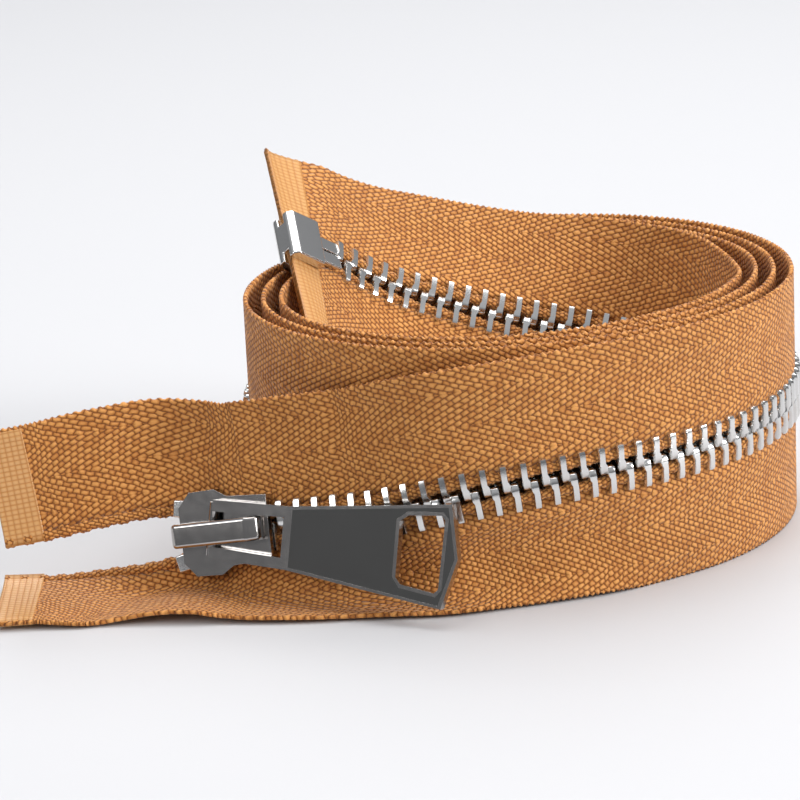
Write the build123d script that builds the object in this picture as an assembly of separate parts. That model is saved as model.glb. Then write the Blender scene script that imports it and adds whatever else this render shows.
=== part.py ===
from build123d import *
import os
from math import cos, degrees, hypot, pi, radians, sin, tan

# A separating metal zipper, closed, with its slider at the top end and the rest wound into a loose
# standing coil.  Millimetres, +Z up, z = 0 is the table.  +X points from the loose top end towards
# the coil, +Y away from the side where the slider shows.
#
# Every half of the zipper is described across its width by w, measured from the middle of the chain
# (w = 0) to the outer edge of the tape (w = HALF_WIDTH), and along its length by s, measured from the
# place inside the slider where the two halves meet (s = 0) towards the coil.

# --- the chain and its tapes -------------------------------------------------------------------
HALF_WIDTH = 16.0        # middle of the chain to the outer edge of one tape
TAPE_INNER = 2.3         # w where the flat weave begins, outside the bead
TAPE_THICK = 0.6
BEAD_MIDDLE = 1.65       # w of the corded edge that the teeth are clamped on
BEAD_RADIUS = 0.7
PITCH = 2.4              # from one tooth to the next on the same side
TOOTH_HEAD = 1.08        # along the chain
TOOTH_LEG = 1.0          # along the chain
TOOTH_TIP = -0.5         # w of the tip, past the middle of the chain
TOOTH_SHOULDER = 0.95    # w where the head ends and the legs begin
TOOTH_END = 3.1          # w where the legs end
TOOTH_THICK = 2.1
BAND_INNER = 0.05        # w where the bands that stand for a long run of teeth begin
BAND_THICK = 2.0
BAND_COUNT = 12
FLAT_WIDTH = 4.4         # the part next to the chain that stays flat
SECTION_STEP = 4.0       # between two sections of a tape
COIL_SECTION_STEP = 8.0

# --- the standing coil: a round spiral, slightly oval -------------------------------------------
COIL_X = 15.45
COIL_Y = -1.15
COIL_RADIUS = 34.2
COIL_STEP = 2.3          # from one turn to the next
COIL_OVAL = 2.26
COIL_OVAL_TURN = 25.0    # direction of the long way across, degrees
COIL_HEIGHT = 16.05      # of the middle of the chain
COIL_START = -60
COIL_END = 1090
ROW_TURN = 15

# --- the straight stretch that the slider runs on -----------------------------------------------
LEAD_LOW = (-30.0, -23.5, 6.7)
LEAD_HIGH = (-4.5, -32.1, 11.3)
LEAD_TILT = 16.0         # the chain leans back by this much here
FLOOR_GAP = 0.35         # lowest place of a tape's middle surface
FLAT_ANGLE = 95.0        # direction of a tape that lies on the table, 90 is level
SLIDER_X = -21.8         # middle of the slider
SPLIT_ANGLE = 11.0       # of each half to the chain, inside the slider
SLIDER_TRAVEL = 12.0
LEAD_END = 66.0          # distance where the tapes stand upright in the coil

# --- slider --------------------------------------------------------------------------------------
BODY_BACK = -5.6         # mouth end, along the chain from the slider's middle
BODY_FRONT = 6.2
PLATE_INNER = 1.3        # half of the height of the channel
PLATE_OUTER = 2.3
SLOT_HALF = 0.6          # half of the slot that a tape runs through
CHANNEL_HALF = 3.3
CROWN_UNDER = 4.0
CROWN_TOP = 5.2
CROWN_HALF = 1.5
CROSSBAR_T = -0.9
CROSSBAR_N = 3.15
TAB_ASIDE = 0.5          # the loose tab's eye lies this far off the crown's middle
CROSSBAR_RADIUS = 0.6
PAWL_PIVOT_T = 3.0
PAWL_PIVOT_N = 2.9

# --- pull tab ------------------------------------------------------------------------------------
TAB_TURN = -12.0         # the loose tab hangs askew by this much
TAB_LIFT = 1.0            # degrees that the tab stands off the chain
TAB_THICK = 1.3
TAB_LENGTH = 32.6
TAB_NECK = 10.3          # crossbar to the broad blade
TAB_NECK_HALF = 3.9
TAB_END_HALF = 6.35
EYE_LENGTH = 9.6
EYE_HALF = 2.5
ENAMEL_DEEP = 0.25

# --- bottom end: box and pins --------------------------------------------------------------------
BOX_LENGTH = 5.2
BOX_HALF = 3.7
BOX_THICK = 4.0
PIN_LENGTH = 8.2
PIN_INNER = 0.12
PIN_OUTER = 2.2
PIN_THICK = 2.1
FILM_LENGTH = 5.0
FILM_THICK = 0.12

# moves the model so that the middle of its footprint is the origin
CENTRE_SHIFT = (-0.23, 5.30, 0.04)


def coil_point(turn):
    """Place of the chain's middle on the coil, at an angle counted from the right-hand side."""
    r = COIL_RADIUS - COIL_STEP * turn / 360 + COIL_OVAL * cos(radians(2 * (turn - COIL_OVAL_TURN)))
    return COIL_X + r * cos(radians(turn)), COIL_Y + r * sin(radians(turn))


def lead_point(x):
    """Point of the straight stretch at a given x."""
    f = (x - LEAD_LOW[0]) / (LEAD_HIGH[0] - LEAD_LOW[0])
    return tuple(a + (b - a) * f for a, b in zip(LEAD_LOW, LEAD_HIGH))


def unit(v):
    size = sum(c * c for c in v) ** 0.5
    return tuple(c / size for c in v)


def cross(a, b):
    return (a[1] * b[2] - a[2] * b[1], a[2] * b[0] - a[0] * b[2], a[0] * b[1] - a[1] * b[0])


def along(p, *steps):
    """p moved by each (distance, direction)."""
    for distance, direction in steps:
        p = tuple(a + distance * b for a, b in zip(p, direction))
    return p


def level_frame(tangent):
    """Outward level direction and the upward direction square to the chain."""
    t = unit(tangent)
    outward = unit((t[1], -t[0], 0))
    return t, outward, cross(outward, t)


def bend_to_table(height, start):
    """Bend length and last angle for a tape edge that comes down to the table."""
    room = HALF_WIDTH - FLAT_WIDTH
    drop = height - FLOOR_GAP
    a = radians(start)
    length = drop * (radians(FLAT_ANGLE) - a) / (1 - sin(a))
    if length <= room:
        return length, FLAT_ANGLE
    low, high = -a, radians(FLAT_ANGLE)
    for _ in range(40):
        end = (low + high) / 2
        if room * (sin(end) - sin(a)) / (end - a) > drop:
            low = end
        else:
            high = end
    return room, degrees(end)


# A row is x, y, z of the chain's middle, then the angle of the flat part, the angles where the bend
# starts and ends and the bend's length.  Angles are in degrees from upright, positive outwards.

def lower_row(x, y, z, tilt, start):
    length, end = bend_to_table(z - FLAT_WIDTH * cos(radians(tilt)), start)
    return x, y, z, tilt, start, end, length


def even_row(x, y, z, tilt):
    return x, y, z, tilt, tilt, tilt, HALF_WIDTH - FLAT_WIDTH


def upper_row(x, y, z, tilt, end):
    return x, y, z, tilt, tilt, end, HALF_WIDTH - FLAT_WIDTH


def closed_rows(side):
    """Rows from the meeting place in the slider to the bottom end, for the upper or lower half."""
    rows = []
    for x, start in ((MEET_X, 10), (-18.0, 2), (-13.0, -14), (-8.5, -32), (-4.5, -45)):
        p = lead_point(x)
        rows.append(upper_row(*p, -LEAD_TILT, 6) if side > 0 else lower_row(*p, LEAD_TILT, start))
    for x, y, z, tilt, start in ((3.0, -34.3, 13.2, 8, -45), (9.0, -34.9, 14.4, 3, -42)):
        rows.append(upper_row(x, y, z, -tilt, 2) if side > 0 else lower_row(x, y, z, tilt, start))
    for turn, z, start in ((-90, 15.2, -34), (-75, 15.9, -22)):
        x, y = coil_point(turn)
        rows.append(upper_row(x, y, z, 0, 0) if side > 0 else lower_row(x, y, z, 0, start))
    for turn in range(COIL_START, COIL_END, ROW_TURN):
        rows.append(even_row(*coil_point(turn), COIL_HEIGHT, 0))
    for x, y, z, lean in ((38.6, 11.0, 16.9, 8), (27.6, 16.2, 18.7, 24), (14.0, 16.0, 22.1, 39),
                          (0.0, 14.4, 27.1, 46), (-8.8, 11.0, 32.8, 48), (-13.9, 7.6, 36.4, 48)):
        rows.append(even_row(x, y, z, lean * side))
    return rows


def split_point(x, side):
    """Where a half runs inside and just outside the slider, away from the other half."""
    t, outward, up = level_frame(LEAD_DIRECTION)
    c, n = cos(radians(LEAD_TILT)), sin(radians(LEAD_TILT))
    across = tuple(c * b - n * a for a, b in zip(outward, up))
    p = lead_point(x)
    back = hypot(*(a - b for a, b in zip(p, lead_point(MEET_X))))
    return along(p, (side * back * tan(radians(SPLIT_ANGLE)), across))


def open_rows(side):
    """Rows from the meeting place to the top end: the upper half stands, the lower one lies down."""
    if side > 0:
        return [upper_row(*lead_point(MEET_X), -LEAD_TILT, 6),
                upper_row(*split_point(-29.5, 1), -LEAD_TILT, 6),
                upper_row(-36.5, -24.3, 7.9, -12, 4),
                upper_row(-43.5, -24.8, 6.7, -8, 3),
                upper_row(-49.6, -25.0, 5.9, -5, 2)]
    return [lower_row(*lead_point(MEET_X), LEAD_TILT, 10),
            lower_row(*split_point(-29.5, -1), LEAD_TILT, 30),
            (-36.5, -21.6, 2.9, 62, 70, 91, 3.0),
            (-43.5, -20.4, 1.35, 86, 88, 90, 6.0),
            (-50.6, -20.3, 1.3, 88, 90, 88, 8.0)]


def smooth(rows, parts=16):
    """Close steps along a smooth curve through the rows."""
    out = []
    last = len(rows) - 1
    for i in range(last):
        a, b, c, d = rows[max(i - 1, 0)], rows[i], rows[i + 1], rows[min(i + 2, last)]
        for k in range(parts):
            t = k / parts
            out.append(tuple(0.5 * (2 * q + (r - p) * t + (2 * p - 5 * q + 4 * r - o) * t * t
                                    + (3 * q - p - 3 * r + o) * t ** 3) for p, q, r, o in zip(a, b, c, d)))
    out.append(tuple(rows[last]))
    return out


class Half:
    """One half of the zipper: rows at any distance s from the meeting place."""

    def __init__(self, side):
        self.side = side
        self.closed = self.measure(smooth(closed_rows(side)))
        self.open = self.measure(smooth(open_rows(side)))
        self.end = self.closed[-1][0]
        self.start = -self.open[-1][0]

    def measure(self, rows):
        out = [(0.0, rows[0])]
        for a, b in zip(rows, rows[1:]):
            out.append((out[-1][0] + hypot(*(p - q for p, q in zip(a[:3], b[:3]))), b))
        return out

    def row(self, s):
        table = self.closed if s >= 0 else self.open
        d = min(abs(s), table[-1][0])
        low, high = 0, len(table) - 1
        while high - low > 1:
            middle = (low + high) // 2
            if table[middle][0] <= d:
                low = middle
            else:
                high = middle
        (d0, a), (d1, b) = table[low], table[high]
        f = (d - d0) / (d1 - d0)
        return tuple(p + (q - p) * f for p, q in zip(a, b))

    def frame(self, s):
        """Chain middle, direction along the chain, outward and upward."""
        near, far = max(s - 0.4, self.start), min(s + 0.4, self.end)
        a, b = self.row(near)[:3], self.row(far)[:3]
        return self.row(s), level_frame(tuple(q - p for p, q in zip(a, b)))

    def across(self, s, w):
        """Point of the middle surface at w, with the across and face directions there."""
        row, (t, outward, up) = self.frame(s)
        p, tilt, start, end, length = row[:3], *row[3:]

        def heading(angle):
            a = radians(angle)
            return tuple(self.side * cos(a) * u + sin(a) * n for u, n in zip(up, outward))

        p = along(p, (min(w, FLAT_WIDTH), heading(tilt)))
        if w <= FLAT_WIDTH:
            d = heading(tilt)
        else:
            parts = 6
            bend = min(w - FLAT_WIDTH, length)
            turned = start + (end - start) * bend / length
            for k in range(parts):
                p = along(p, (bend / parts, heading(start + (turned - start) * (k + 0.5) / parts)))
            d = heading(turned)
            p = along(p, (max(w - FLAT_WIDTH - length, 0), d))
        face = cross(t, d) if self.side > 0 else cross(d, t)
        return p, d, face, t


def face_of(points):
    return Face(Wire.make_polygon([Vector(*p) for p in points], close=True))


def strip(half, s0, s1, w0, w1, n0, n1, across_parts=1, step=SECTION_STEP):
    """Solid strip between two distances, two widths and two heights over the middle surface."""
    count = max(1, round((s1 - s0) / step))
    sections = []
    for k in range(count + 1):
        s = s0 + (s1 - s0) * k / count
        lower, upper = [], []
        for j in range(across_parts + 1):
            p, _, face, _ = half.across(s, w0 + (w1 - w0) * j / across_parts)
            lower.append(along(p, (n0, face)))
            upper.append(along(p, (n1, face)))
        sections.append(face_of(lower + upper[::-1]))
    return loft(sections, ruled=True)


def bead(half, s0, s1, sides=6):
    """The corded edge of the tape, as a many-sided tube."""
    count = max(1, round((s1 - s0) / SECTION_STEP))
    sections = []
    for k in range(count + 1):
        p, d, face, _ = half.across(s0 + (s1 - s0) * k / count, BEAD_MIDDLE)
        turns = [2 * pi * j / sides for j in range(sides)]
        sections.append(face_of([along(p, (BEAD_RADIUS * cos(a), d), (BEAD_RADIUS * sin(a), face))
                                 for a in turns]))
    return loft(sections, ruled=True)


def tape(half, s0, s1, inner=TAPE_INNER):
    """Woven tape where it bends across its width."""
    return strip(half, s0, s1, inner, HALF_WIDTH, -TAPE_THICK / 2, TAPE_THICK / 2, across_parts=6)


def coil_tape(half, s0, s1):
    """Woven tape of the coil, straight across its width."""
    half_thick = TAPE_THICK / 2
    return strip(half, s0, s1, TOOTH_END, HALF_WIDTH, -half_thick, half_thick, 1, COIL_SECTION_STEP)


def chain_band(half, s0, s1):
    """One side's run of clamped teeth, as short bands laid end to end."""
    high = BAND_THICK / 2
    length = (s1 - s0) / BAND_COUNT
    starts = [s0 + length * k for k in range(BAND_COUNT)]
    return [strip(half, s, s + length, BAND_INNER, TOOTH_END, -high, high, 1, 6.0) for s in starts]


def place(half, s, w=0.0):
    """Location with x along the chain, y into this half's tape and z square to both."""
    p, d, _, t = half.across(s, w)
    return Plane(origin=Vector(*p), x_dir=Vector(*t), z_dir=Vector(*cross(t, d))).location


def tooth():
    """Cast tooth: a head that meshes and a pair of legs clamped on the bead."""
    head, leg = TOOTH_HEAD / 2, TOOTH_LEG / 2
    outline = Polyline((-head, TOOTH_TIP), (head, TOOTH_TIP), (head, TOOTH_SHOULDER),
                       (leg, TOOTH_SHOULDER), (leg, TOOTH_END), (-leg, TOOTH_END),
                       (-leg, TOOTH_SHOULDER), (-head, TOOTH_SHOULDER), close=True)
    return extrude(make_face(outline), amount=TOOTH_THICK / 2, both=True)


def teeth(half, first, last):
    """Teeth on one half from one distance to another; the other half's stand between them."""
    offset = 0.0 if half.side > 0 else PITCH / 2
    k = -int(-(first - offset) // PITCH) if first >= offset else int((first - offset) / PITCH)
    shape = tooth()
    out = []
    while offset + k * PITCH < last:
        if offset + k * PITCH >= first:
            out.append(shape.moved(place(half, offset + k * PITCH)))
        k += 1
    return out


def block(x0, x1, y0, y1, z0, z1):
    return Pos((x0 + x1) / 2, (y0 + y1) / 2, (z0 + z1) / 2) * Box(x1 - x0, y1 - y0, z1 - z0)


def slider_frame():
    """Plane of the slider: x along the chain, y across it, z out of the face."""
    t, outward, up = level_frame(LEAD_DIRECTION)
    c, n = cos(radians(LEAD_TILT)), sin(radians(LEAD_TILT))
    face = tuple(c * a + n * b for a, b in zip(outward, up))
    return Plane(origin=Vector(*lead_point(SLIDER_X)), x_dir=Vector(*t), z_dir=Vector(*face))


WING = [(BODY_BACK, 3.4), (-4.0, 5.2), (-0.6, 5.3), (1.0, 4.3), (BODY_FRONT, 4.0)]


def wing_outline():
    points = WING + [(x, -y) for x, y in WING[::-1]]
    return make_face(Polyline(*points, close=True))


def channel_outline(inset=0.0):
    widen = -BODY_BACK * tan(radians(SPLIT_ANGLE))
    y = CHANNEL_HALF - inset
    points = [(BODY_BACK - 0.1, y + widen), (0, y), (BODY_FRONT + 0.1, y)]
    return make_face(Polyline(*(points + [(a, -b) for a, b in points[::-1]]), close=True))


def slider_body():
    """Two plates joined by the wedge, with turned-in edges that guide the halves."""
    body = extrude(wing_outline(), amount=PLATE_OUTER, both=True)
    body -= extrude(channel_outline(), amount=PLATE_INNER, both=True)
    body -= block(BODY_BACK - 1, BODY_FRONT + 1, -7, 7, -SLOT_HALF, SLOT_HALF)
    body -= block(0.5, 2.1, -0.7, 0.7, 0.5, PLATE_OUTER + 1)
    spread = -BODY_BACK * tan(radians(SPLIT_ANGLE)) + TOOTH_TIP - 0.12
    tip = (TOOTH_TIP - 0.12) / tan(radians(SPLIT_ANGLE))
    wedge = make_face(Polyline((BODY_BACK, spread), (tip, 0), (BODY_BACK, -spread), close=True))
    return body + extrude(wedge, amount=PLATE_INNER + 0.2, both=True)


def crown_cap():
    """Long cover over the crossbar, with a foot at each end on the front plate."""
    side = Polyline((-6.4, CROWN_UNDER - 0.5), (-5.6, CROWN_TOP - 0.2), (4.3, CROWN_TOP),
                    (5.6, CROWN_UNDER), (5.6, PLATE_OUTER), (4.4, PLATE_OUTER), (4.4, CROWN_UNDER),
                    (-4.2, CROWN_UNDER), (-4.2, PLATE_OUTER), (-5.4, PLATE_OUTER), close=True)
    profile = Plane.XZ * make_face(side)
    return extrude(profile, amount=CROWN_HALF, both=True)


def lock_pawl():
    """Small sprung lever under the crown whose point reaches down to the chain."""
    lever = block(0.4, 3.3, -0.45, 0.45, PAWL_PIVOT_N - 0.25, PAWL_PIVOT_N + 0.25)
    point = block(0.8, 1.6, -0.45, 0.45, TOOTH_THICK / 2 + 0.1, PAWL_PIVOT_N)
    return lever + point


def tab_plane():
    """Plane of the pull tab: x from the crossbar to the far end."""
    return Pos(CROSSBAR_T, TAB_ASIDE, CROSSBAR_N) * Rot(0, 0, TAB_TURN) * Rot(0, -TAB_LIFT, 0)


def tab_outline(inset=0.0):
    far = TAB_LENGTH - inset
    return make_face(Polyline((TAB_NECK + inset, TAB_NECK_HALF - inset * 0.9),
                              (far - 1.3, TAB_END_HALF - inset),
                              (far, -0.1), (far - 1.7, -TAB_END_HALF + inset),
                              (TAB_NECK + inset, -TAB_NECK_HALF + inset * 0.9), close=True))


def window_outline(grow=0.0):
    """Cut-out with cropped corners near the end of the blade."""
    g = grow
    return make_face(Polyline((24.8 - g, 3.7 + g * 0.4), (25.9 - g * 0.4, 4.5 + g), (30.1 + g * 0.4, 4.9 + g),
                              (30.6 + g, 4.4 + g * 0.4), (30.4 + g, -4.0), (29.9 + g * 0.4, -4.5 - g),
                              (25.5 - g * 0.4, -3.9 - g), (24.8 - g, -3.1), close=True))


def pull_tab_frame():
    """Cast blade with an eye round the crown, a round crossbar and a recess on each face."""
    eye = make_face(Polyline((0, -EYE_HALF - 1.1), (TAB_NECK, -TAB_NECK_HALF), (TAB_NECK, TAB_NECK_HALF),
                             (0, EYE_HALF + 1.1), close=True))
    eye -= make_face(Polyline((CROSSBAR_RADIUS, -EYE_HALF + 0.3), (EYE_LENGTH, -EYE_HALF),
                              (EYE_LENGTH, EYE_HALF), (CROSSBAR_RADIUS, EYE_HALF - 0.3), close=True))
    eye -= Pos(-1, 0) * Rectangle(2 + 2 * CROSSBAR_RADIUS, 2 * EYE_HALF - 0.6)
    frame = extrude(eye, amount=TAB_THICK / 2, both=True)
    frame += extrude(tab_outline(), amount=TAB_THICK / 2, both=True)
    frame -= extrude(window_outline(), amount=TAB_THICK, both=True)
    for z in (TAB_THICK / 2 - ENAMEL_DEEP, -TAB_THICK / 2):
        frame -= Pos(0, 0, z) * extrude(tab_outline(0.4) - window_outline(0.45), amount=ENAMEL_DEEP)
    bar = Rot(90, 0, 0) * Cylinder(CROSSBAR_RADIUS, 2 * EYE_HALF + 1.6)
    return frame + bar


def enamel(face):
    """Inlay that fills the recess on one face of the blade."""
    z = TAB_THICK / 2 - ENAMEL_DEEP if face > 0 else -TAB_THICK / 2
    return Pos(0, 0, z) * extrude(tab_outline(0.4) - window_outline(0.45), amount=ENAMEL_DEEP)


def retaining_box():
    """Box at the bottom end: a pocket for both pins, open towards the chain, and a slot for the tapes."""
    shell = block(-0.5, BOX_LENGTH - 0.5, -BOX_HALF, BOX_HALF, -BOX_THICK / 2, BOX_THICK / 2)
    shell = chamfer(shell.edges().filter_by(Axis.Y).group_by(Axis.X)[-1], 0.7)
    return shell


def box_with_pocket():
    gap = 0.06
    inner = block(-1, BOX_LENGTH - 1.3, -PIN_OUTER - gap, PIN_OUTER + gap, -PIN_THICK / 2 - gap,
                  PIN_THICK / 2 + gap)
    slot = block(-1, BOX_LENGTH + 1, -BOX_HALF - 1, BOX_HALF + 1, -TAPE_THICK / 2 - 0.2, TAPE_THICK / 2 + 0.2)
    keep = block(-1, BOX_LENGTH + 1, -PIN_OUTER - gap, PIN_OUTER + gap, -2, 2)
    return retaining_box() - inner - (slot - keep)


def pin(side):
    """One of the two end pins, beside each other in the box."""
    y0, y1 = sorted((side * PIN_INNER, side * PIN_OUTER))
    return block(BOX_LENGTH - 1.4 - PIN_LENGTH, BOX_LENGTH - 1.4, y0, y1, -PIN_THICK / 2, PIN_THICK / 2)


def top_stop(half, s):
    shape = block(-0.8, 0.8, 0.95, TOOTH_END, -TOOTH_THICK / 2, TOOTH_THICK / 2)
    return shape.moved(place(half, s))


def films(half, s0, s1):
    """Stiff film on both faces of a tape's end."""
    t = TAPE_THICK / 2
    curved = 6 if s0 < 0 else 1
    inner = TAPE_INNER if s0 < 0 else TOOTH_END
    return [strip(half, s0, s1, inner, HALF_WIDTH - 0.05, n, n + FILM_THICK, curved, 1.6)
            for n in (t, -t - FILM_THICK)]


MEET_X = SLIDER_X
LEAD_DIRECTION = tuple(b - a for a, b in zip(LEAD_LOW, LEAD_HIGH))


def build():
    """Name and solids of every piece."""
    upper, lower = Half(1), Half(-1)
    chain_end = upper.end - PIN_LENGTH - 0.9
    out = {}
    for name, half in (("upper", upper), ("lower", lower)):
        out[f"tape_{name}_coil"] = [coil_tape(half, LEAD_END, half.end)]
        out[f"tape_{name}_lead"] = [tape(half, SLIDER_TRAVEL, LEAD_END, TOOTH_END)]
        out[f"tape_{name}_stretch"] = [tape(half, 0, SLIDER_TRAVEL)]
        out[f"tape_{name}_flap"] = [tape(half, half.start, 0)]
        out[f"teeth_{name}_coil"] = chain_band(half, SLIDER_TRAVEL, chain_end)
        out[f"teeth_{name}_stretch"] = teeth(half, TOOTH_HEAD, SLIDER_TRAVEL - TOOTH_HEAD / 2)
        out[f"teeth_{name}_flap"] = teeth(half, -3.9, -0.1)
        out[f"bead_{name}_stretch"] = [bead(half, 0, SLIDER_TRAVEL)]
        out[f"bead_{name}_flap"] = [bead(half, half.start, 0)]
    out["top_stop_upper"] = [top_stop(upper, -6.7)]
    out["top_stop_lower"] = [top_stop(lower, -6.9)]
    out["film_upper_top"] = films(upper, upper.start, upper.start + FILM_LENGTH)
    out["film_lower_top"] = films(lower, lower.start, lower.start + FILM_LENGTH)
    out["film_upper_bottom"] = films(upper, upper.end - FILM_LENGTH, upper.end)
    out["film_lower_bottom"] = films(lower, lower.end - FILM_LENGTH, lower.end)
    bottom = place(upper, upper.end - BOX_LENGTH + 0.9)
    out["retaining_box"] = [box_with_pocket().moved(bottom)]
    out["insertion_pin"] = [pin(1).moved(bottom)]
    out["retainer_pin"] = [pin(-1).moved(bottom)]
    here = slider_frame().location
    out["slider_body"] = [slider_body().moved(here)]
    out["crown_cap"] = [crown_cap().moved(here)]
    out["lock_pawl"] = [lock_pawl().moved(here)]
    tab = here * tab_plane()
    out["pull_tab_frame"] = [pull_tab_frame().moved(tab)]
    out["enamel_front"] = [enamel(1).moved(tab)]
    out["enamel_back"] = [enamel(-1).moved(tab)]
    return out


def solids_of(shapes):
    return [solid for shape in shapes for solid in shape.solids()]


def main():
    os.makedirs("parts", exist_ok=True)
    for name, shapes in build().items():
        group = [solid.moved(Location(CENTRE_SHIFT)) for solid in solids_of(shapes)]
        shape = group[0] if len(group) == 1 else Compound(children=group)
        export_step(shape, f"parts/{name}.step")
        print(name, len(group))


main()
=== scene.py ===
from math import cos, degrees, hypot, pi, radians, sin, tan

import bmesh
import bpy
import numpy as np
from mathutils import Matrix, Vector


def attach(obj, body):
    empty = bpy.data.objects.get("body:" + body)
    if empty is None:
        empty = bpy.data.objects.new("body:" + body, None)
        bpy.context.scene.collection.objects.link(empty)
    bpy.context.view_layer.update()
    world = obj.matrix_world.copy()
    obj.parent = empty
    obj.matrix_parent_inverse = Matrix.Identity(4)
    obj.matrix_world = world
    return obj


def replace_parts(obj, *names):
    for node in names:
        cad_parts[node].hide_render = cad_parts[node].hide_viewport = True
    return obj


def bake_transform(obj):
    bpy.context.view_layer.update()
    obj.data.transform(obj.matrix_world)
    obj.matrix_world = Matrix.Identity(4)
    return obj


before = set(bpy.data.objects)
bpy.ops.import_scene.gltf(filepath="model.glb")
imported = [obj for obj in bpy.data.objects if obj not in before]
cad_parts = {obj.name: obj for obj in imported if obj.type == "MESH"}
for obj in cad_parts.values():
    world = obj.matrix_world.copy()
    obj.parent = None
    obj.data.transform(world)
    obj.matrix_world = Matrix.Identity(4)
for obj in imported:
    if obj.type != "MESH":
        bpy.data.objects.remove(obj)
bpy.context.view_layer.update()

bl_info = {
    "name": "Coiled separating zipper",
    "version": (1, 0, 0),
    "blender": (4, 5, 0),
    "location": "View3D > Sidebar > Zipper",
    "description": "A closed metal zipper wound into a standing coil, in woven tape and plated metal",
    "category": "Add Mesh",
}

# ------------------------------------------------------------------------------------------------
# Sizes in millimetres, the same as in the CAD part.  w runs across a half, from the middle of the
# chain to the tape's outer edge.  s runs along it, from the meeting place in the slider to the coil.
# ------------------------------------------------------------------------------------------------
SHIFT = np.array((-0.23, 5.30, 0.04))
HALF_WIDTH = 16.0
FLAT_WIDTH = 4.4
PITCH = 2.4
TOOTH_THICK = 2.1
COIL_X = 15.45
COIL_Y = -1.15
COIL_RADIUS = 34.2
COIL_STEP = 2.3
COIL_OVAL = 2.26
COIL_OVAL_TURN = 25.0
COIL_HEIGHT = 16.05
COIL_START = -60
COIL_END = 1090
ROW_TURN = 15
LEAD_LOW = (-30.0, -23.5, 6.7)
LEAD_HIGH = (-4.5, -32.1, 11.3)
LEAD_TILT = 16.0
FLOOR_GAP = 0.35
FLAT_ANGLE = 95.0
MEET_X = -21.8
SPLIT_X = -29.5
SPLIT_ANGLE = 11.0
STRETCH_LENGTH = 12.0
PIN_LENGTH = 8.2
FILM_LENGTH = 5.0

# Sizes that only the visual model has, in millimetres.  The lists ACROSS give the places across a
# half where its surface is sampled.
TAPE_ACROSS = [2.2, 3.2, 4.4, 5.6, 7.2, 9.0, 10.8, 12.6, 14.4, 15.3, 15.75]
TAPE_HALF_THICK = 0.27
SELVAGE_HALF_THICK = 0.30
SELVAGE_OUT = 0.10
LOOP_OUT = 0.26
LOOP_HALF_THICK = 0.17
YARN = 0.8
CORD_MIDDLE = 1.62
CORD_RADIUS = 0.66
CORD_STEP = 0.24
CORD_SIDES = 10
FILM_ACROSS = [1.1, 2.4, 4.4, 6.4, 8.5, 10.6, 12.7, 14.6, 15.7]
FILM_HALF_THICK = [0.78, 0.5, 0.36, 0.36, 0.36, 0.36, 0.36, 0.36, 0.4]
TOOTH_LEAN = 0.14
TOOTH_CORNER = 0.72


def coil_point(turn):
    """Place of the chain's middle in plan, after so many degrees of the coil."""
    r = COIL_RADIUS - COIL_STEP * turn / 360 + COIL_OVAL * cos(radians(2 * (turn - COIL_OVAL_TURN)))
    return COIL_X + r * cos(radians(turn)), COIL_Y + r * sin(radians(turn))


def lead_point(x):
    """Place of the chain's middle on the straight stretch."""
    f = (x - LEAD_LOW[0]) / (LEAD_HIGH[0] - LEAD_LOW[0])
    return tuple(a + (b - a) * f for a, b in zip(LEAD_LOW, LEAD_HIGH))


def bend_to_table(height, start):
    """Bend length and last angle for a tape edge that comes down to the table."""
    room = HALF_WIDTH - FLAT_WIDTH
    drop = height - FLOOR_GAP
    a = radians(start)
    length = drop * (radians(FLAT_ANGLE) - a) / (1 - sin(a))
    if length <= room:
        return length, FLAT_ANGLE
    low, high = -a, radians(FLAT_ANGLE)
    for _ in range(40):
        end = (low + high) / 2
        if room * (sin(end) - sin(a)) / (end - a) > drop:
            low = end
        else:
            high = end
    return room, degrees(end)


def lower_row(x, y, z, tilt, start):
    """Row of the lower half whose tape bends until it reaches the table."""
    length, end = bend_to_table(z - FLAT_WIDTH * cos(radians(tilt)), start)
    return x, y, z, tilt, start, end, length


def upper_row(x, y, z, tilt, end):
    """Row whose tape bends evenly from its tilt to the angle of its outer edge."""
    return x, y, z, tilt, tilt, end, HALF_WIDTH - FLAT_WIDTH


def closed_rows(side):
    """Rows from the slider to the bottom end: place, tilt, bend's two angles and its length."""
    rows = []
    for x, start in ((MEET_X, 10), (-18.0, 2), (-13.0, -14), (-8.5, -32), (-4.5, -45)):
        p = lead_point(x)
        rows.append(upper_row(*p, -LEAD_TILT, 6) if side > 0 else lower_row(*p, LEAD_TILT, start))
    for x, y, z, tilt, start in ((3.0, -34.3, 13.2, 8, -45), (9.0, -34.9, 14.4, 3, -42)):
        rows.append(upper_row(x, y, z, -tilt, 2) if side > 0 else lower_row(x, y, z, tilt, start))
    for turn, z, start in ((-90, 15.2, -34), (-75, 15.9, -22)):
        x, y = coil_point(turn)
        rows.append(upper_row(x, y, z, 0, 0) if side > 0 else lower_row(x, y, z, 0, start))
    for turn in range(COIL_START, COIL_END, ROW_TURN):
        rows.append(upper_row(*coil_point(turn), COIL_HEIGHT, 0, 0))
    for x, y, z, lean in ((38.6, 11.0, 16.9, 8), (27.6, 16.2, 18.7, 24), (14.0, 16.0, 22.1, 39),
                          (0.0, 14.4, 27.1, 46), (-8.8, 11.0, 32.8, 48), (-13.9, 7.6, 36.4, 48)):
        rows.append(upper_row(x, y, z, lean * side, lean * side))
    return rows


def lead_frame():
    """Directions along the straight stretch, across it and out of its face."""
    t = np.subtract(LEAD_HIGH, LEAD_LOW)
    t = t / np.linalg.norm(t)
    outward = np.array((t[1], -t[0], 0)) / hypot(t[0], t[1])
    up = np.cross(outward, t)
    c, n = cos(radians(LEAD_TILT)), sin(radians(LEAD_TILT))
    return t, c * up - n * outward, c * outward + n * up


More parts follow.
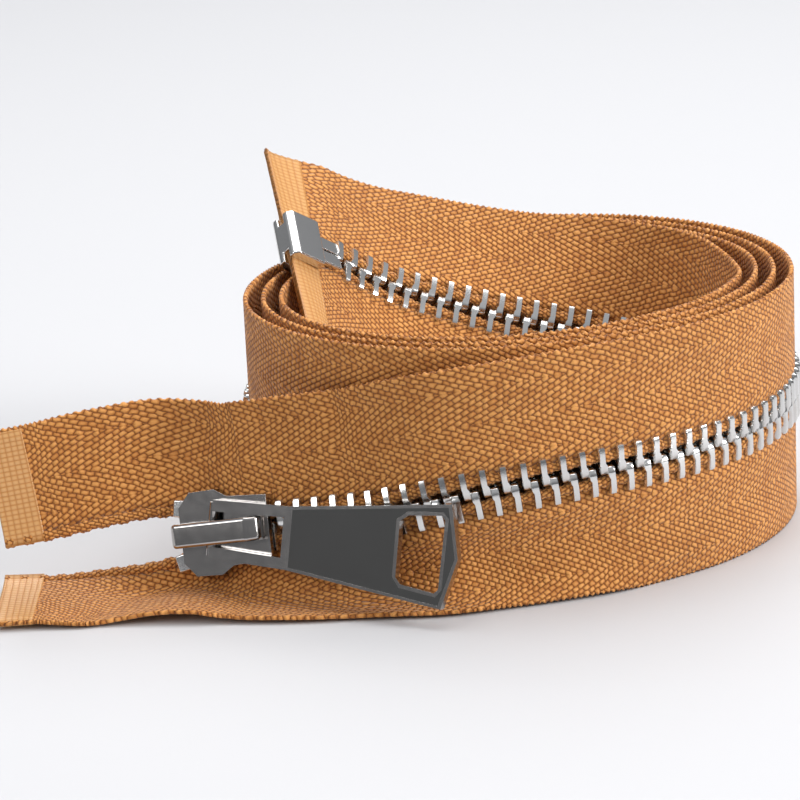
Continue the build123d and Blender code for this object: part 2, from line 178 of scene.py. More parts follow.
def split_point(x, side):
    """Place of one half's edge where the slider has parted it from the other."""
    across = lead_frame()[1]
    p = np.array(lead_point(x))
    back = np.linalg.norm(p - lead_point(MEET_X))
    return tuple(p + side * back * tan(radians(SPLIT_ANGLE)) * across)


def open_rows(side):
    """Rows from the slider to the loose top end."""
    if side > 0:
        return [upper_row(*lead_point(MEET_X), -LEAD_TILT, 6),
                upper_row(*split_point(SPLIT_X, 1), -LEAD_TILT, 6),
                upper_row(-36.5, -24.3, 7.9, -12, 4),
                upper_row(-43.5, -24.8, 6.7, -8, 3),
                upper_row(-49.6, -25.0, 5.9, -5, 2)]
    return [lower_row(*lead_point(MEET_X), LEAD_TILT, 10),
            lower_row(*split_point(SPLIT_X, -1), LEAD_TILT, 30),
            (-36.5, -21.6, 2.9, 62, 70, 91, 3.0),
            (-43.5, -20.4, 1.35, 86, 88, 90, 6.0),
            (-50.6, -20.3, 1.3, 88, 90, 88, 8.0)]


def smooth(rows, parts=16):
    """Close steps along a smooth curve through the rows."""
    out = []
    last = len(rows) - 1
    for i in range(last):
        a, b, c, d = (np.array(rows[k]) for k in (max(i - 1, 0), i, i + 1, min(i + 2, last)))
        for k in range(parts):
            t = k / parts
            out.append(0.5 * (2 * b + (c - a) * t + (2 * a - 5 * b + 4 * c - d) * t * t
                              + (3 * b - a - 3 * c + d) * t ** 3))
    out.append(np.array(rows[last]))
    return np.array(out)


class Half:
    """One half of the zipper: its surface at any s and w."""

    def __init__(self, side):
        self.side = side
        closed, opened = smooth(closed_rows(side)), smooth(open_rows(side))
        self.rows = np.vstack([opened[::-1], closed[1:]])
        steps = np.linalg.norm(np.diff(self.rows[:, :3], axis=0), axis=1)
        length = np.concatenate([[0], np.cumsum(steps)])
        self.s = length - length[len(opened) - 1]
        self.start, self.end = self.s[0], self.s[-1]

    def row(self, s):
        """Place, tilt and bend at every s."""
        return np.stack([np.interp(s, self.s, self.rows[:, k]) for k in range(7)], axis=-1)

    def directions(self, s):
        """Directions along, outward and up, smoothed where the halves part at an angle."""
        reach = 0.4 + 4.0 * np.exp(-((s + 1.0) / 5.0) ** 2)
        ahead = self.row(np.minimum(s + reach, self.end))[:, :3]
        behind = self.row(np.maximum(s - reach, self.start))[:, :3]
        t = ahead - behind
        t /= np.linalg.norm(t, axis=1)[:, None]
        outward = np.stack([t[:, 1], -t[:, 0], 0 * t[:, 0]], axis=1)
        outward /= np.linalg.norm(outward, axis=1)[:, None]
        return t, outward, np.cross(outward, t)

    def surface(self, s, widths):
        """Points, directions across, faces and directions along, for every s and w."""
        s = np.asarray(s, float)
        row = self.row(s)
        t, outward, up = self.directions(s)
        shape = (row[:, 3], row[:, 4], row[:, 5], row[:, 6], up, outward)
        p = row[:, :3].copy()
        w0 = 0.0
        points = []
        crosses = []
        for w in widths:
            parts = max(1, round(abs(w - w0) / 0.8))
            for k in range(parts):
                middle = w0 + (w - w0) * (k + 0.5) / parts
                p = p + (w - w0) / parts * self.heading(middle, *shape)
            w0 = w
            points.append(p.copy())
            crosses.append(self.heading(w, *shape))
        points, crosses = np.stack(points, 1), np.stack(crosses, 1)
        along = np.repeat(t[:, None, :], len(widths), axis=1)
        face = np.cross(along, crosses) * self.side
        return points, crosses, face, along

    def heading(self, w, tilt, start, end, length, up, outward):
        """Direction across at w: the tilt by the chain, eased into the bend further out."""
        f = np.clip((w - FLAT_WIDTH) / length, 0, 1)
        bend = start + (end - start) * f
        ease = np.clip((w - FLAT_WIDTH + 0.8) / 1.6, 0, 1)
        ease = ease * ease * (3 - 2 * ease)
        a = np.radians(tilt + (bend - tilt) * ease)
        return self.side * np.cos(a)[:, None] * up + np.sin(a)[:, None] * outward


HALVES = {"upper": Half(1), "lower": Half(-1)}


def metres(points):
    """Points of the sizes above, in metres and in the part's frame."""
    return (np.asarray(points) + SHIFT) / 1000


# ------------------------------------------------------------------------------------------------
# Mesh helpers
# ------------------------------------------------------------------------------------------------

def loops_mesh(name, points, uv):
    """Closed mesh from a grid of points (along, round), with the map uv of the same shape."""
    n, m = points.shape[:2]
    verts = metres(points.reshape(-1, 3))
    i = np.arange(n - 1)[:, None] * m
    j = np.arange(m)[None, :]
    beside = (j + 1) % m
    quads = np.stack([i + j, i + beside, i + m + beside, i + m + j], axis=-1).reshape(-1, 4)
    faces = [tuple(q) for q in quads.tolist()]
    faces.append(tuple(range(m))[::-1])
    faces.append(tuple(range((n - 1) * m, n * m)))
    mesh = bpy.data.meshes.new(name)
    mesh.from_pydata(verts.tolist(), [], faces)
    layer = mesh.uv_layers.new(name="weave")
    corner = np.empty(len(mesh.loops), int)
    mesh.loops.foreach_get("vertex_index", corner)
    layer.data.foreach_set("uv", uv.reshape(-1, 2)[corner].ravel())
    bm = bmesh.new()
    bm.from_mesh(mesh)
    bmesh.ops.recalc_face_normals(bm, faces=bm.faces)
    bm.to_mesh(mesh)
    bm.free()
    mesh.shade_smooth()
    return mesh


def put(name, mesh, material):
    """Object in the scene with its material."""
    obj = bpy.data.objects.new(name, mesh)
    bpy.context.scene.collection.objects.link(obj)
    if material and not mesh.materials:
        mesh.materials.append(material)
    return obj


def steps_along(s0, s1, step):
    """Even steps of about the given size from s0 to s1."""
    return np.linspace(s0, s1, max(2, round((s1 - s0) / step)) + 1)


def flat_map(s, w):
    """Map in millimetres, along and across, for a grid of points."""
    return np.stack(np.broadcast_arrays(s[:, None], np.asarray(w)[None, :]), axis=-1)


def tape_piece(name, half, s0, s1, material, step):
    """Woven tape between two distances, with a looped outer edge."""
    s = steps_along(s0, s1, step)
    points, across, face, _ = half.surface(s, TAPE_ACROSS)
    wave = np.sin(2 * pi * s / YARN)
    thickness = np.repeat((TAPE_HALF_THICK + 0.02 * wave)[:, None], len(TAPE_ACROSS), 1)
    thickness[:, -1] = SELVAGE_HALF_THICK
    front = points + face * thickness[:, :, None]
    back = points - face * thickness[:, :, None]
    out = SELVAGE_OUT + LOOP_OUT * (0.5 + 0.5 * wave)
    rim = points[:, -1] + across[:, -1] * out[:, None]
    rim_front = rim + face[:, -1] * LOOP_HALF_THICK
    rim_back = rim - face[:, -1] * LOOP_HALF_THICK
    ring = np.concatenate([front, rim_front[:, None], rim_back[:, None], back[:, ::-1]], axis=1)
    back_shift = 0.3
    w = np.array(TAPE_ACROSS + [HALF_WIDTH, HALF_WIDTH + 0.05] + TAPE_ACROSS[::-1])
    w[len(TAPE_ACROSS) + 2:] += back_shift
    return put(name, loops_mesh(name, ring, flat_map(s, w)), material)


def bead_piece(name, half, s0, s1, material):
    """Corded edge of the tape: a lumpy cord, swollen once for every tooth."""
    s = steps_along(s0, s1, CORD_STEP)
    points, across, face, _ = half.surface(s, [CORD_MIDDLE])
    turns = np.arange(CORD_SIDES) * 2 * pi / CORD_SIDES
    lump = CORD_RADIUS + 0.07 * np.sin(2 * pi * s / YARN) + 0.09 * np.sin(2 * pi * s / PITCH)
    ring = (points + across * (np.cos(turns)[None, :, None] * lump[:, None, None] * 1.1)
            + face * (np.sin(turns)[None, :, None] * lump[:, None, None]))
    return put(name, loops_mesh(name, ring, flat_map(s, turns * 0.7)), material)


def film_piece(name, half, s0, s1, material):
    """Stiff clear film pressed over both faces of a tape's end."""
    s = np.linspace(s0, s1, 24)
    points, across, face, _ = half.surface(s, FILM_ACROSS)
    thick = np.array(FILM_HALF_THICK)[None, :, None]
    ring = np.concatenate([points + face * thick, (points - face * thick)[:, ::-1]], axis=1)
    w = FILM_ACROSS + FILM_ACROSS[::-1]
    return put(name, loops_mesh(name, ring, flat_map(s, w)), material)


def softened(node, name, material, width):
    """Copy of a CAD node with its sharp edges rounded as a casting's are."""
    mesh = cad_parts[node].data.copy()
    mesh.name = name
    bm = bmesh.new()
    bm.from_mesh(mesh)
    bmesh.ops.remove_doubles(bm, verts=bm.verts, dist=1e-6)
    bmesh.ops.dissolve_limit(bm, angle_limit=radians(1.0), verts=bm.verts, edges=bm.edges)
    bmesh.ops.recalc_face_normals(bm, faces=bm.faces)
    bm.to_mesh(mesh)
    bm.free()
    mesh.shade_smooth()
    mesh.materials.clear()
    obj = put(name, mesh, material)
    bevel = obj.modifiers.new("rounding", "BEVEL")
    bevel.width = width
    bevel.segments = 3
    bevel.limit_method = "ANGLE"
    bevel.angle_limit = radians(35)
    normals = obj.modifiers.new("flat_faces", "WEIGHTED_NORMAL")
    normals.weight = 100
    bpy.context.view_layer.update()
    done = bpy.data.meshes.new_from_object(obj.evaluated_get(bpy.context.evaluated_depsgraph_get()))
    obj.modifiers.clear()
    obj.data = done
    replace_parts(obj, node)
    return obj


# ------------------------------------------------------------------------------------------------
# Materials
# ------------------------------------------------------------------------------------------------

def linear(hexcode):
    """sRGB hex colour as linear RGBA."""
    values = [int(hexcode[i:i + 2], 16) / 255 for i in (1, 3, 5)]
    return tuple(v / 12.92 if v <= 0.04045 else ((v + 0.055) / 1.055) ** 2.4 for v in values) + (1.0,)


def add(tree, kind, inputs=None, **settings):
    """Node with its settings, and its inputs set to values or linked to sockets."""
    node = tree.nodes.new(kind)
    for key, value in settings.items():
        setattr(node, key, value)
    for key, value in (inputs or {}).items():
        if isinstance(value, bpy.types.NodeSocket):
            tree.links.new(value, node.inputs[key])
        else:
            node.inputs[key].default_value = value
    return node


def maths(tree, operation, a, b=0.0):
    """Result of one sum on values or sockets."""
    return add(tree, "ShaderNodeMath", {0: a, 1: b}, operation=operation).outputs[0]


def new_material(name):
    """Material with its tree and its shader."""
    material = bpy.data.materials.new(name)
    material.use_nodes = True
    tree = material.node_tree
    return material, tree, tree.nodes["Principled BSDF"]


def hump(tree, value):
    """Rounded rise that repeats once for every whole number of the value."""
    return maths(tree, "SINE", maths(tree, "MULTIPLY", maths(tree, "FRACT", value), pi))


def scaled(tree, value, factor, plus):
    """The value times a factor, plus a constant."""
    return maths(tree, "ADD", maths(tree, "MULTIPLY", value, factor), plus)


def noise(tree, vector, scale, detail):
    """Noise in repeats per unit of the vector."""
    return add(tree, "ShaderNodeTexNoise", {"Vector": vector, "Scale": scale, "Detail": detail}).outputs[0]


def mixed(tree, factor, low, high):
    """Colour between two.  The colours of this node are its inputs 6 and 7, and its output 2."""
    node = add(tree, "ShaderNodeMix", {0: factor, 6: low, 7: high}, data_type="RGBA")
    return node.outputs[2]


def bumped(tree, shader, height, strength, distance):
    """Relief on a shader; the distance is in metres."""
    bump = add(tree, "ShaderNodeBump", {"Height": height, "Strength": strength, "Distance": distance})
    tree.links.new(bump.outputs[0], shader.inputs["Normal"])


def woven_polyester(name, colour, dark, light, row=0.70, lump=1.02):
    """Dyed polyester herringbone webbing: fat yarn floats in slanting rows that turn back and forth
    across the tape, with painted shade (dark) in the matt gaps and a painted highlight (light) on top
    of each float, over a soft silky sheen.  Row and lump are the width and length of a float in
    millimetres."""
    band, slant = 4.4, 0.5
    material, tree, shader = new_material(name)
    uv = add(tree, "ShaderNodeUVMap", uv_map="weave").outputs[0]
    split = add(tree, "ShaderNodeSeparateXYZ", {0: uv})
    wobble = noise(tree, uv, 0.8, 2.0)
    along = maths(tree, "ADD", split.outputs[0], maths(tree, "MULTIPLY", wobble, 0.7))
    across = maths(tree, "ADD", split.outputs[1], maths(tree, "MULTIPLY", wobble, 0.3))
    zigzag = maths(tree, "PINGPONG", across, band)
    slanted = maths(tree, "SUBTRACT", zigzag, maths(tree, "MULTIPLY", along, slant))
    rows = maths(tree, "DIVIDE", slanted, row)
    shift = maths(tree, "MULTIPLY", maths(tree, "FLOOR", rows), 0.5)
    length = maths(tree, "ADD", along, maths(tree, "MULTIPLY", zigzag, slant))
    place = maths(tree, "ADD", maths(tree, "DIVIDE", length, lump), shift)
    height = maths(tree, "POWER", maths(tree, "MULTIPLY", hump(tree, rows), hump(tree, place)), 0.45)
    number = {0: maths(tree, "FLOOR", rows), 1: maths(tree, "FLOOR", place)}
    cell = add(tree, "ShaderNodeCombineXYZ", number)
    chance = add(tree, "ShaderNodeTexWhiteNoise", {"Vector": cell.outputs[0]}).outputs["Value"]
    height = maths(tree, "MULTIPLY", height, scaled(tree, chance, 0.45, 0.72))
    height = maths(tree, "ADD", height, maths(tree, "MULTIPLY", noise(tree, uv, 9.0, 4.0), 0.16))
    # The ramp paints light and shade by the weave's height: painted shade (dark) low in the gaps, the
    # yarn's colour midway and a painted highlight (light) on the tops of the floats.
    ramp = add(tree, "ShaderNodeValToRGB", {0: height})
    ends = ramp.color_ramp.elements
    ends[0].position = 0.15
    ends[0].color = dark
    ends[1].position = 1.0
    ends[1].color = light
    ends.new(0.6).color = colour
    value = scaled(tree, noise(tree, uv, 0.12, 3.0), 0.24, 0.88)
    shade = add(tree, "ShaderNodeHueSaturation", {"Color": ramp.outputs[0], "Value": value})
    tree.links.new(shade.outputs[0], shader.inputs["Base Color"])
    bumped(tree, shader, height, 0.85, 0.0003)
    shader.inputs["Roughness"].default_value = 0.62
    shader.inputs["Specular IOR Level"].default_value = 0.35
    shader.inputs["Sheen Weight"].default_value = 0.15
    shader.inputs["Sheen Roughness"].default_value = 0.4
    return material


def plated_metal(name, colour, roughness):
    """Nickel plate over a polished zinc or brass casting: a mirror with faint ripples and wear."""
    material, tree, shader = new_material(name)
    place = add(tree, "ShaderNodeTexCoord").outputs["Object"]
    ripple = noise(tree, place, 900.0, 3.0)
    rough = add(tree, "ShaderNodeMapRange", {"Value": ripple, "To Min": roughness * 0.7,
                                             "To Max": roughness * 1.5})
    tree.links.new(rough.outputs[0], shader.inputs["Roughness"])
    bumped(tree, shader, noise(tree, place, 5200.0, 2.0), 0.25, 0.00002)
    shader.inputs["Base Color"].default_value = colour
    shader.inputs["Metallic"].default_value = 1.0
    return material


def baked_enamel(name, colour):
    """Dark enamel flooded into the recess and baked: flat, satin, with a very fine orange peel."""
    material, tree, shader = new_material(name)
    place = add(tree, "ShaderNodeTexCoord").outputs["Object"]
    value = scaled(tree, noise(tree, place, 150.0, 2.0), 0.2, 0.9)
    shade = add(tree, "ShaderNodeHueSaturation", {"Color": colour, "Value": value})
    tree.links.new(shade.outputs[0], shader.inputs["Base Color"])
    bumped(tree, shader, noise(tree, place, 2500.0, 2.0), 0.2, 0.00002)
    shader.inputs["Roughness"].default_value = 0.45
    shader.inputs["Specular IOR Level"].default_value = 0.3
    return material


def pressed_film(name, colour, dark):
    """Clear stiffening film pressed into the weave: pale and glossy, with a fine square grid."""
    square_along, square_across = 0.8, 0.62
    material, tree, shader = new_material(name)
    uv = add(tree, "ShaderNodeUVMap", uv_map="weave").outputs[0]
    split = add(tree, "ShaderNodeSeparateXYZ", {0: uv})
    along = hump(tree, maths(tree, "DIVIDE", split.outputs[0], square_along))
    across = hump(tree, maths(tree, "DIVIDE", split.outputs[1], square_across))
    grid = maths(tree, "POWER", maths(tree, "MULTIPLY", along, across), 0.4)
    tree.links.new(mixed(tree, grid, dark, colour), shader.inputs["Base Color"])
    bumped(tree, shader, grid, 0.5, 0.00012)
    shader.inputs["Roughness"].default_value = 0.3
    return material


# ------------------------------------------------------------------------------------------------
# Settings
# ------------------------------------------------------------------------------------------------

def colour_property(name, description, hexcode):
    """Colour shown in the panel, given in sRGB and kept linear."""
    return bpy.props.FloatVectorProperty(name=name, description=description, default=linear(hexcode),
                                         size=4, subtype="COLOR", min=0.0, max=1.0)


class ZipperSizes(bpy.types.PropertyGroup):
    """Sizes that can be changed without changing the zipper's line"""
    tape_step: bpy.props.FloatProperty(name="Tape step", description="Mesh step along the tape, mm",
                                       default=0.2, min=0.05, precision=3)
    tooth_scale: bpy.props.FloatProperty(name="Tooth scale", description="Size of the teeth",
                                         default=1.0, subtype="FACTOR", min=0.5, max=1.5)
    edge_round: bpy.props.FloatProperty(name="Edge rounding", description="Rounding of cast edges",
                                        default=0.00022, min=0.0, precision=5, unit="LENGTH")


class ZipperColours(bpy.types.PropertyGroup):
    """Colours of the yarn, its painted shade and painted highlight, the plating, the enamel and the film
    """
    tape: colour_property("Tape", "Yarn", "#B77331")
    # Painted shade for the gaps between yarns.
    tape_gap_painted_shade: colour_property("Tape gap painted shade", "Gaps between yarns", "#70390F")
    # Painted highlight on the top of each yarn float.
    tape_float_painted_highlight: colour_property("Tape painted highlight", "Top of a yarn", "#DB9952")
    teeth: colour_property("Teeth", "Bright nickel", "#D9D8D6")
    slider: colour_property("Slider", "Dark nickel", "#B2AEAB")
    enamel: colour_property("Enamel", "Inlay of the pull tab", "#3C3C3B")
    film: colour_property("Film", "Film on the tape ends", "#D6A56B")


def shared_material(name, maker, *values):
    """Material of that name, made the first time that it is asked for."""
    return bpy.data.materials.get(name) or maker(name, *values)


def yarn_colours():
    """Colour of the yarn, the painted shade of its gaps and the painted highlight of its floats."""
    c = bpy.context.scene.zipper_colours
    return tuple(c.tape), tuple(c.tape_gap_painted_shade), tuple(c.tape_float_painted_highlight)


def tape_material():
    """Webbing of both tapes."""
    return shared_material("herringbone_polyester_tape", woven_polyester, *yarn_colours())


def cord_material():
    """Tighter weave of the corded edges."""
    row, lump = 0.55, 0.8
    return shared_material("corded_polyester_bead", woven_polyester, *yarn_colours(), row, lump)


def film_material():
    """Film over the tape ends."""
    c = bpy.context.scene.zipper_colours
    return shared_material("pressed_clear_film", pressed_film, tuple(c.film), tuple(c.tape))


def teeth_metal():
    """Plating of the teeth, stops, pins and box."""
    colour, roughness = tuple(bpy.context.scene.zipper_colours.teeth), 0.16
    return shared_material("bright_nickel_plate", plated_metal, colour, roughness)


def slider_metal():
    """Plating of the slider and its tab."""
    colour, roughness = tuple(bpy.context.scene.zipper_colours.slider), 0.13
    return shared_material("dark_nickel_plate", plated_metal, colour, roughness)


def enamel_material():
    """Inlay of the pull tab."""
    colour = tuple(bpy.context.scene.zipper_colours.enamel)
    return shared_material("baked_dark_enamel", baked_enamel, colour)


# ------------------------------------------------------------------------------------------------
# Operators
# ------------------------------------------------------------------------------------------------

def at(s):
    """Point of the chain's middle, in metres."""
    return tuple(metres(HALVES["upper"].surface([s], [0.0])[0][0, 0]))


class MakeTapes(bpy.types.Operator):
    """Both woven tapes, with the upper one parted from the lower near the slider"""
    bl_idname = "zipper.make_tapes"
    bl_label = "Make tapes"

    def execute(self, context):
        step = context.scene.zipper_sizes.tape_step
        cloth = tape_material()
        upper, lower = HALVES["upper"], HALVES["lower"]
        # Places in s where one piece gives way to the next.
        bridge, middle, lead_end = 26.0, 6.5, 60.0
        coil = tape_piece("tape_upper_wound", upper, bridge, upper.end, cloth, step)
        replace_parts(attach(coil, "root"), "tape_upper_coil", "tape_upper_lead")
        part = tape_piece("tape_upper_parting", upper, middle, bridge, cloth, step)
        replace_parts(part, "tape_upper_stretch")
        at(19.0)
        at(7.5)
        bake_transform(part)
        end = tape_piece("tape_upper_end", upper, upper.start, middle, cloth, step)
        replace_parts(end, "tape_upper_flap")
        at(5.0)
        at(-5.0)
        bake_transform(end)
        low = tape_piece("tape_lower_wound", lower, lead_end, lower.end, cloth, step)
        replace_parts(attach(low, "root"), "tape_lower_coil")
        lead = tape_piece("tape_lower_lead_and_end", lower, lower.start, lead_end, cloth, step)
        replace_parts(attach(lead, "root"), "tape_lower_lead", "tape_lower_stretch", "tape_lower_flap")
        return {"FINISHED"}


class MakeBeads(bpy.types.Operator):
    """Corded edges that the teeth are clamped on"""
    bl_idname = "zipper.make_beads"
    bl_label = "Make corded edges"

    def execute(self, context):
        cord = cord_material()
        upper, lower = HALVES["upper"], HALVES["lower"]
        into_pin = 1.0
        stop = upper.end - PIN_LENGTH + into_pin
        parts = (("wound", STRETCH_LENGTH, stop, "root", ()),
                 ("stretch", 0, STRETCH_LENGTH, "upper_stretch", ("bead_upper_stretch",)),
                 ("flap", upper.start, 0, "upper_flap", ("bead_upper_flap",)))
        for name, s0, s1, body, nodes in parts:
            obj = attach(bead_piece("bead_upper_" + name + "_cord", upper, s0, s1, cord), body)
            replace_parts(obj, *nodes)
        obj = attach(bead_piece("bead_lower_cord", lower, lower.start, stop, cord), "root")
        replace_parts(obj, "bead_lower_stretch", "bead_lower_flap")
        return {"FINISHED"}


def tooth_mesh(lean):
    """One cast tooth: cupped head set a little to one side, narrow waist and legs round the cord."""
    half = TOOTH_THICK / 2
    # For each level: distance from the chain's middle, half length, half thickness, shift aside.
    levels = ((-0.52, 0.34, 0.62, lean), (-0.34, 0.52, 0.86, lean), (0.35, 0.60, half, lean),
              (0.75, 0.58, half, lean * 0.8), (1.05, 0.48, half, 0), (2.6, 0.49, half, 0),
              (3.0, 0.46, 0.9, 0), (3.14, 0.34, 0.62, 0))
    bm = bmesh.new()
    rings = []
    for y, x, z, aside in levels:
        cut_x, cut_z = x * TOOTH_CORNER, z * TOOTH_CORNER
        outline = ((x, cut_z), (cut_x, z), (-cut_x, z), (-x, cut_z),
                   (-x, -cut_z), (-cut_x, -z), (cut_x, -z), (x, -cut_z))
        rings.append([bm.verts.new(((a + aside) / 1000, y / 1000, b / 1000)) for a, b in outline])
    for low, high in zip(rings, rings[1:]):
        for k in range(8):
            beside = (k + 1) % 8
            bm.faces.new((low[k], low[beside], high[beside], high[k]))
    bm.faces.new(rings[0][::-1])
    bm.faces.new(rings[-1])
    bmesh.ops.recalc_face_normals(bm, faces=bm.faces)
    mesh = bpy.data.meshes.new("tooth_shape")
    bm.to_mesh(mesh)
    bm.free()
    mesh.shade_smooth()
    mesh.set_sharp_from_angle(angle=radians(38))
    return mesh


def row_of_teeth_tree():
    """Geometry Nodes: a tooth at each point, turned as the point's attribute says."""
    tree = bpy.data.node_groups.new("row_of_teeth", "GeometryNodeTree")
    face = tree.interface
    face.new_socket("Geometry", in_out="INPUT", socket_type="NodeSocketGeometry")
    face.new_socket("Tooth", in_out="INPUT", socket_type="NodeSocketObject")
    face.new_socket("Scale", in_out="INPUT", socket_type="NodeSocketFloat")
    face.new_socket("Metal", in_out="INPUT", socket_type="NodeSocketMaterial")
    face.new_socket("Geometry", in_out="OUTPUT", socket_type="NodeSocketGeometry")
    given = add(tree, "NodeGroupInput")
    tooth = add(tree, "GeometryNodeObjectInfo", {"Object": given.outputs["Tooth"]})
    turn = add(tree, "GeometryNodeInputNamedAttribute", {"Name": "turn"}, data_type="FLOAT_VECTOR")
    points = add(tree, "GeometryNodeInstanceOnPoints", {
        "Points": given.outputs["Geometry"], "Instance": tooth.outputs["Geometry"],
        "Rotation": turn.outputs["Attribute"], "Scale": given.outputs["Scale"]})
    real = add(tree, "GeometryNodeRealizeInstances", {"Geometry": points.outputs[0]})
    metal = add(tree, "GeometryNodeSetMaterial", {
        "Geometry": real.outputs[0], "Material": given.outputs["Metal"]})
    add(tree, "NodeGroupOutput", {"Geometry": metal.outputs[0]})
    return tree


def row_of_teeth(name, half, s0, s1, tree, tooth, metal, scale):
    """The teeth of one half between two distances, as one mesh; the halves alternate."""
    offset = 0.0 if half.side > 0 else PITCH / 2
    first = int(np.ceil((s0 - offset) / PITCH))
    last = int(np.floor((s1 - offset) / PITCH))
    s = offset + PITCH * np.arange(first, last + 1)
    points, across, _, along = half.surface(s, [0.0])
    mesh = bpy.data.meshes.new(name + "_points")
    mesh.from_pydata(metres(points[:, 0]).tolist(), [], [])
    turn = mesh.attributes.new("turn", "FLOAT_VECTOR", "POINT")
    for k in range(len(s)):
        x, y = Vector(along[k, 0]), Vector(across[k, 0])
        z = x.cross(y).normalized()
        y = z.cross(x)
        turn.data[k].vector = Matrix((x, y, z)).transposed().to_euler()
    obj = bpy.data.objects.new(name + "_maker", mesh)
    bpy.context.scene.collection.objects.link(obj)
    modifier = obj.modifiers.new("row", "NODES")
    modifier.node_group = tree
    inputs = [item for item in tree.interface.items_tree if item.in_out == "INPUT"]
    sockets = {item.name: item.identifier for item in inputs}
    modifier[sockets["Tooth"]] = tooth
    modifier[sockets["Scale"]] = scale
    modifier[sockets["Metal"]] = metal
    bpy.context.view_layer.update()
    done = bpy.data.meshes.new_from_object(obj.evaluated_get(bpy.context.evaluated_depsgraph_get()))
    done.name = name
    bpy.data.objects.remove(obj)
    if not done.materials:
        done.materials.append(metal)
    return put(name, done, None)


class MakeTeeth(bpy.types.Operator):
    """Every tooth of both rows"""
    bl_idname = "zipper.make_teeth"
    bl_label = "Make teeth"

    def execute(self, context):
        metal, tree = teeth_metal(), row_of_teeth_tree()
        teeth = {}
        for half in HALVES.values():
            teeth[half] = bpy.data.objects.new("tooth_source", tooth_mesh(half.side * TOOTH_LEAN))
            context.scene.collection.objects.link(teeth[half])
        scale = context.scene.zipper_sizes.tooth_scale
        upper, lower = HALVES["upper"], HALVES["lower"]
        # A margin in s keeps a tooth that stands on a border in one row only.
        margin, before_pin, first = 0.1, 0.6, -3.9
        stop = upper.end - PIN_LENGTH - before_pin
        rows = (("teeth_upper_row", upper, STRETCH_LENGTH, stop, "root", ("teeth_upper_coil",)),
                ("teeth_upper_stretch_row", upper, -margin, STRETCH_LENGTH - margin, "upper_stretch",
                 ("teeth_upper_stretch",)),
                ("teeth_upper_end_row", upper, first, -margin, "upper_flap", ("teeth_upper_flap",)),
                ("teeth_lower_row", lower, first, stop, "root",
                 ("teeth_lower_coil", "teeth_lower_stretch", "teeth_lower_flap")))
        for name, half, s0, s1, body, nodes in rows:
            obj = row_of_teeth(name, half, s0, s1, tree, teeth[half], metal, scale)
            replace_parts(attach(obj, body), *nodes)
        for tooth in teeth.values():
            bpy.data.objects.remove(tooth)
        return {"FINISHED"}


class MakeFilms(bpy.types.Operator):
    """Stiff film over the four tape ends"""
    bl_idname = "zipper.make_films"
    bl_label = "Make end films"

    def execute(self, context):
        film = film_material()
        for name, half in HALVES.items():
            body = "upper_flap" if name == "upper" else "root"
            obj = film_piece(f"film_{name}_top_cover", half, half.start, half.start + FILM_LENGTH, film)
            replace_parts(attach(obj, body), f"film_{name}_top")
            obj = film_piece(f"film_{name}_bottom_cover", half, half.end - FILM_LENGTH, half.end, film)
            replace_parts(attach(obj, "root"), f"film_{name}_bottom")
        return {"FINISHED"}


class MakeHardware(bpy.types.Operator):
    """Slider, crown, lock, pull tab, box, pins and stops"""
    bl_idname = "zipper.make_hardware"
    bl_label = "Make hardware"

    def execute(self, context):
        width = context.scene.zipper_sizes.edge_round
        dark, bright = slider_metal(), teeth_metal()
        enamel = enamel_material()
        for node, body, slot, metal, size in (
                ("slider_body", "slider", "slider_metal", dark, width * 1.3),
                ("crown_cap", "slider", "slider_metal", dark, width * 2.0),
                ("lock_pawl", "pawl", "slider_metal", dark, width * 0.4),
                ("pull_tab_frame", "tab", "slider_metal", dark, width * 0.85),
                ("retaining_box", "root", "box", bright, width * 1.2),
                ("insertion_pin", "root", "pins", bright, width),
                ("retainer_pin", "root", "pins", bright, width),
                ("top_stop_upper", "upper_flap", "teeth", bright, width * 0.8),
                ("top_stop_lower", "root", "teeth", bright, width * 0.8)):
            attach(softened(node, node + "_cast", metal, size), body)
        for node in ("enamel_front", "enamel_back"):
            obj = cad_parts[node]
            obj.data.materials.clear()
            obj.data.materials.append(enamel)
        return {"FINISHED"}


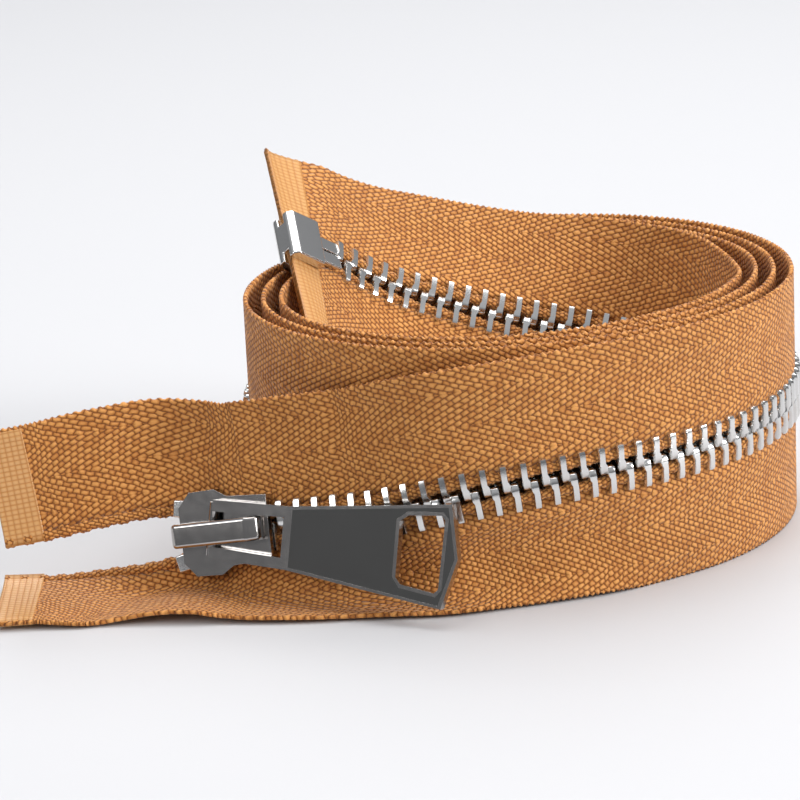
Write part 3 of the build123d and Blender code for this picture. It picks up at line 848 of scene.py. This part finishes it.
class MakeStage(bpy.types.Operator):
    """Pale floor, soft studio light and the camera"""
    bl_idname = "zipper.make_stage"
    bl_label = "Make stage"

    def execute(self, context):
        scene = context.scene
        matt, _, shader = new_material("pale_matt_floor")
        shader.inputs["Base Color"].default_value = linear("#CCCCCE")
        shader.inputs["Roughness"].default_value = 0.7
        floor = bpy.data.meshes.new("floor")
        half = 3.0
        corners = [(-half, -half, 0), (half, -half, 0), (half, half, 0), (-half, half, 0)]
        floor.from_pydata(corners, [], [(0, 1, 2, 3)])
        obj = bpy.data.objects.new("floor", floor)
        floor.materials.append(matt)
        scene.collection.objects.link(obj)
        self.add_sky(scene)
        # Place, aim, side in metres and power in watts of each square light.
        for name, place, aim, side, power in (
                ("overhead", (0.05, 0.15, 0.62), (0, 0, 0), 0.55, 3.0),
                ("left_front", (-0.55, -0.45, 0.38), (0, 0, 0.01), 0.30, 1.5),
                ("behind", (0.0, 1.3, 1.0), (0, 1.0, 0), 0.9, 7.0),
                ("right_front", (0.75, -0.30, 0.36), (0.03, 0, 0.01), 0.35, 6.5)):
            light = bpy.data.lights.new(name, "AREA")
            light.size = side
            light.energy = power
            lamp = bpy.data.objects.new(name, light)
            lamp.location = place
            lamp.rotation_euler = (Vector(aim) - Vector(place)).to_track_quat("-Z", "Y").to_euler()
            scene.collection.objects.link(lamp)
        self.add_camera(scene)
        scene.view_settings.view_transform = "Standard"
        return {"FINISHED"}

    def add_sky(self, scene):
        """Grey at the horizon, which the metal mirrors, and near white overhead."""
        horizon, zenith = (0.36, 0.37, 0.39, 1), (0.94, 0.96, 1, 1)
        world = bpy.data.worlds.new("studio")
        world.use_nodes = True
        sky = world.node_tree
        direction = add(sky, "ShaderNodeTexCoord").outputs["Generated"]
        upward = add(sky, "ShaderNodeSeparateXYZ", {0: direction}).outputs[2]
        height = add(sky, "ShaderNodeMapRange", {"Value": upward, "From Min": 0.12, "From Max": 0.75},
                     interpolation_type="SMOOTHSTEP").outputs[0]
        background = sky.nodes["Background"]
        sky.links.new(mixed(sky, height, horizon, zenith), background.inputs["Color"])
        background.inputs["Strength"].default_value = 0.5
        scene.world = world

    def add_camera(self, scene):
        """Long lens from the front, a little above, aimed at the middle of the coil's height."""
        camera = bpy.data.cameras.new("camera")
        camera.sensor_width = 36.0
        camera.lens = 158.9
        elevation, distance, roll = radians(17.0), 0.460, radians(2.7)
        target = Vector(metres((0.0, 0.0, HALF_WIDTH)))
        view = bpy.data.objects.new("camera", camera)
        back = Vector((0, -cos(elevation), sin(elevation)))
        turn = (-back).to_track_quat("-Z", "Y").to_matrix() @ Matrix.Rotation(-roll, 3, "Z")
        view.matrix_world = Matrix.Translation(target + back * distance) @ turn.to_4x4()
        scene.collection.objects.link(view)
        scene.camera = view


class ZIPPER_PT_panel(bpy.types.Panel):
    """The settings, and a button for each group of pieces"""
    bl_idname = "ZIPPER_PT_panel"
    bl_label = "Coiled zipper"
    bl_space_type = "VIEW_3D"
    bl_region_type = "UI"
    bl_category = "Zipper"

    def draw(self, context):
        for group in (context.scene.zipper_sizes, context.scene.zipper_colours):
            for key in group.__annotations__:
                self.layout.prop(group, key)
        for operator in OPERATORS:
            self.layout.operator(operator.bl_idname)


OPERATORS = (MakeTapes, MakeBeads, MakeTeeth, MakeFilms, MakeHardware, MakeStage)
CLASSES = (ZipperSizes, ZipperColours) + OPERATORS + (ZIPPER_PT_panel,)


def register():
    """Make the classes and the settings known to Blender."""
    for cls in CLASSES:
        bpy.utils.register_class(cls)
    bpy.types.Scene.zipper_sizes = bpy.props.PointerProperty(type=ZipperSizes)
    bpy.types.Scene.zipper_colours = bpy.props.PointerProperty(type=ZipperColours)


def unregister():
    """Take the settings and the classes away again."""
    del bpy.types.Scene.zipper_sizes
    del bpy.types.Scene.zipper_colours
    for cls in reversed(CLASSES):
        bpy.utils.unregister_class(cls)


def main():
    """Build every group of pieces."""
    register()
    for operator in OPERATORS:
        group, name = operator.bl_idname.split(".")
        getattr(getattr(bpy.ops, group), name)()


if __name__ == "__main__":
    main()
